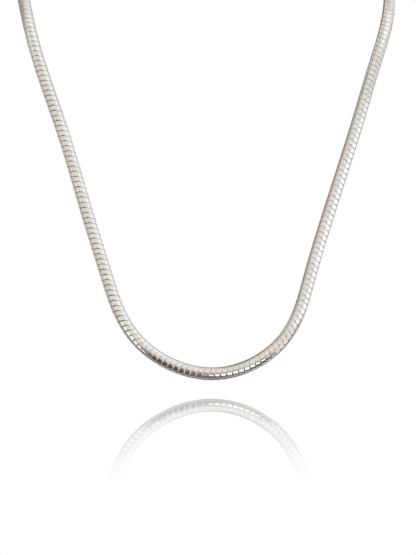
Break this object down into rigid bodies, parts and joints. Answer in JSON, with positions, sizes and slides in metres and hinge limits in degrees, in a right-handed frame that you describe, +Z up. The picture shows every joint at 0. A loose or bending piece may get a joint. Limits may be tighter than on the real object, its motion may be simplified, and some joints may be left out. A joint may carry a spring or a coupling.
{
  "type": "snake chain necklace",
  "caption": "Round polished silver snake chain, a whole worn necklace loop closed at the nape by a plain barrel clasp.",
  "frame": {"origin": "middle of the neck, level with the chain at the nape", "axes": "+Z up as worn, -Y towards the front loop, +X to the right of the front view"},
  "size_m": [0.0996, 0.1138, 0.118],
  "materials": {
    "chain_silver": "polished sterling silver, slightly darker between the links",
    "clasp_silver": "polished sterling silver"
  },
  "bodies": {
    "root": {"snake_chain": "chain_silver", "clasp": "clasp_silver"}
  },
  "joints": []
}
